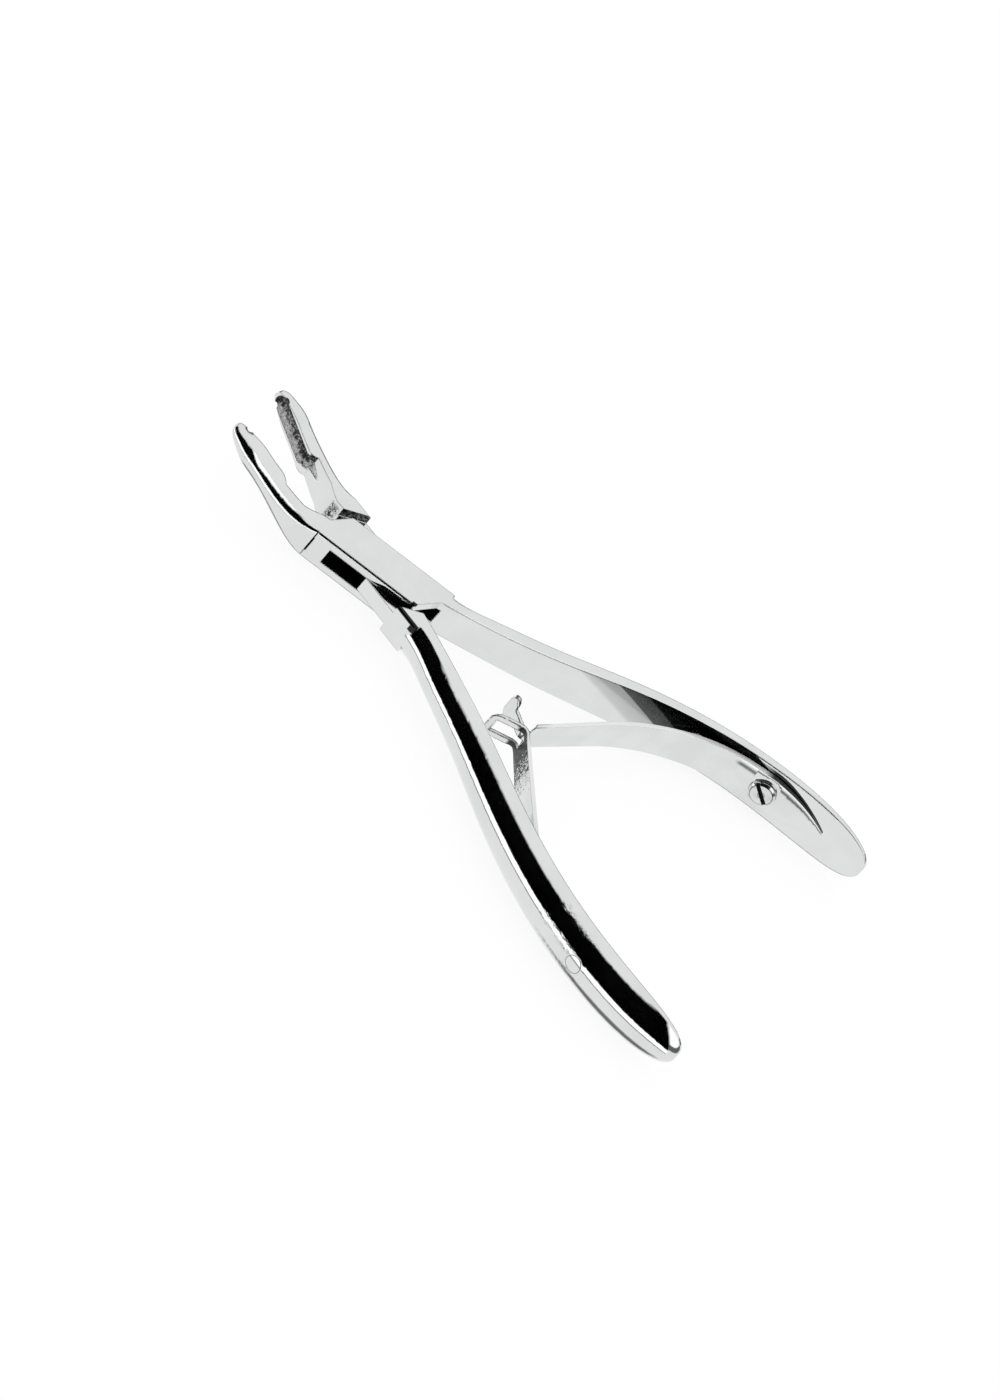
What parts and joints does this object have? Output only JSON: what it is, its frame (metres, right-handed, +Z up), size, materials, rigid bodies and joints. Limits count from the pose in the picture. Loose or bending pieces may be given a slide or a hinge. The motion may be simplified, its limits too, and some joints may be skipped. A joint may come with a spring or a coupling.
{
  "type": "bone rongeur",
  "caption": "Polished steel bone rongeur: cupped jaws bent upwards, a box lock, bowed handles and leaf springs that link by a hook in a slot.",
  "frame": {"origin": "on the pivot axis, in the plane of the lock's underside", "axes": "+X along the mid-line from the jaws to the handle ends, +Y towards the handle of the slotted half, +Z up along the pivot, the side that the jaws are bent to"},
  "size_m": [0.149, 0.0888, 0.0161],
  "materials": {
    "polished_steel": "mirror polished",
    "spring_steel": "polished",
    "screw_steel": "fine turned"
  },
  "bodies": {
    "box_arm": {"box_half": "polished_steel", "pivot_pin": "polished_steel", "hook_spring": "spring_steel", "hook_spring_screw": "screw_steel"},
    "tongue_arm": {"tongue_half": "polished_steel", "slot_spring": "spring_steel", "slot_spring_screw": "screw_steel"}
  },
  "joints": [
    {"name": "box_lock", "type": "hinge", "parent": "box_arm", "child": "tongue_arm", "pos_m": [0, 0, 0.004], "axis": [0, 0, 1], "range_deg": [0, 22.5], "stiffness_Nm_per_rad": 2.4, "springref_deg": -5.73, "deforming": ["hook_spring", "slot_spring"]}
  ]
}
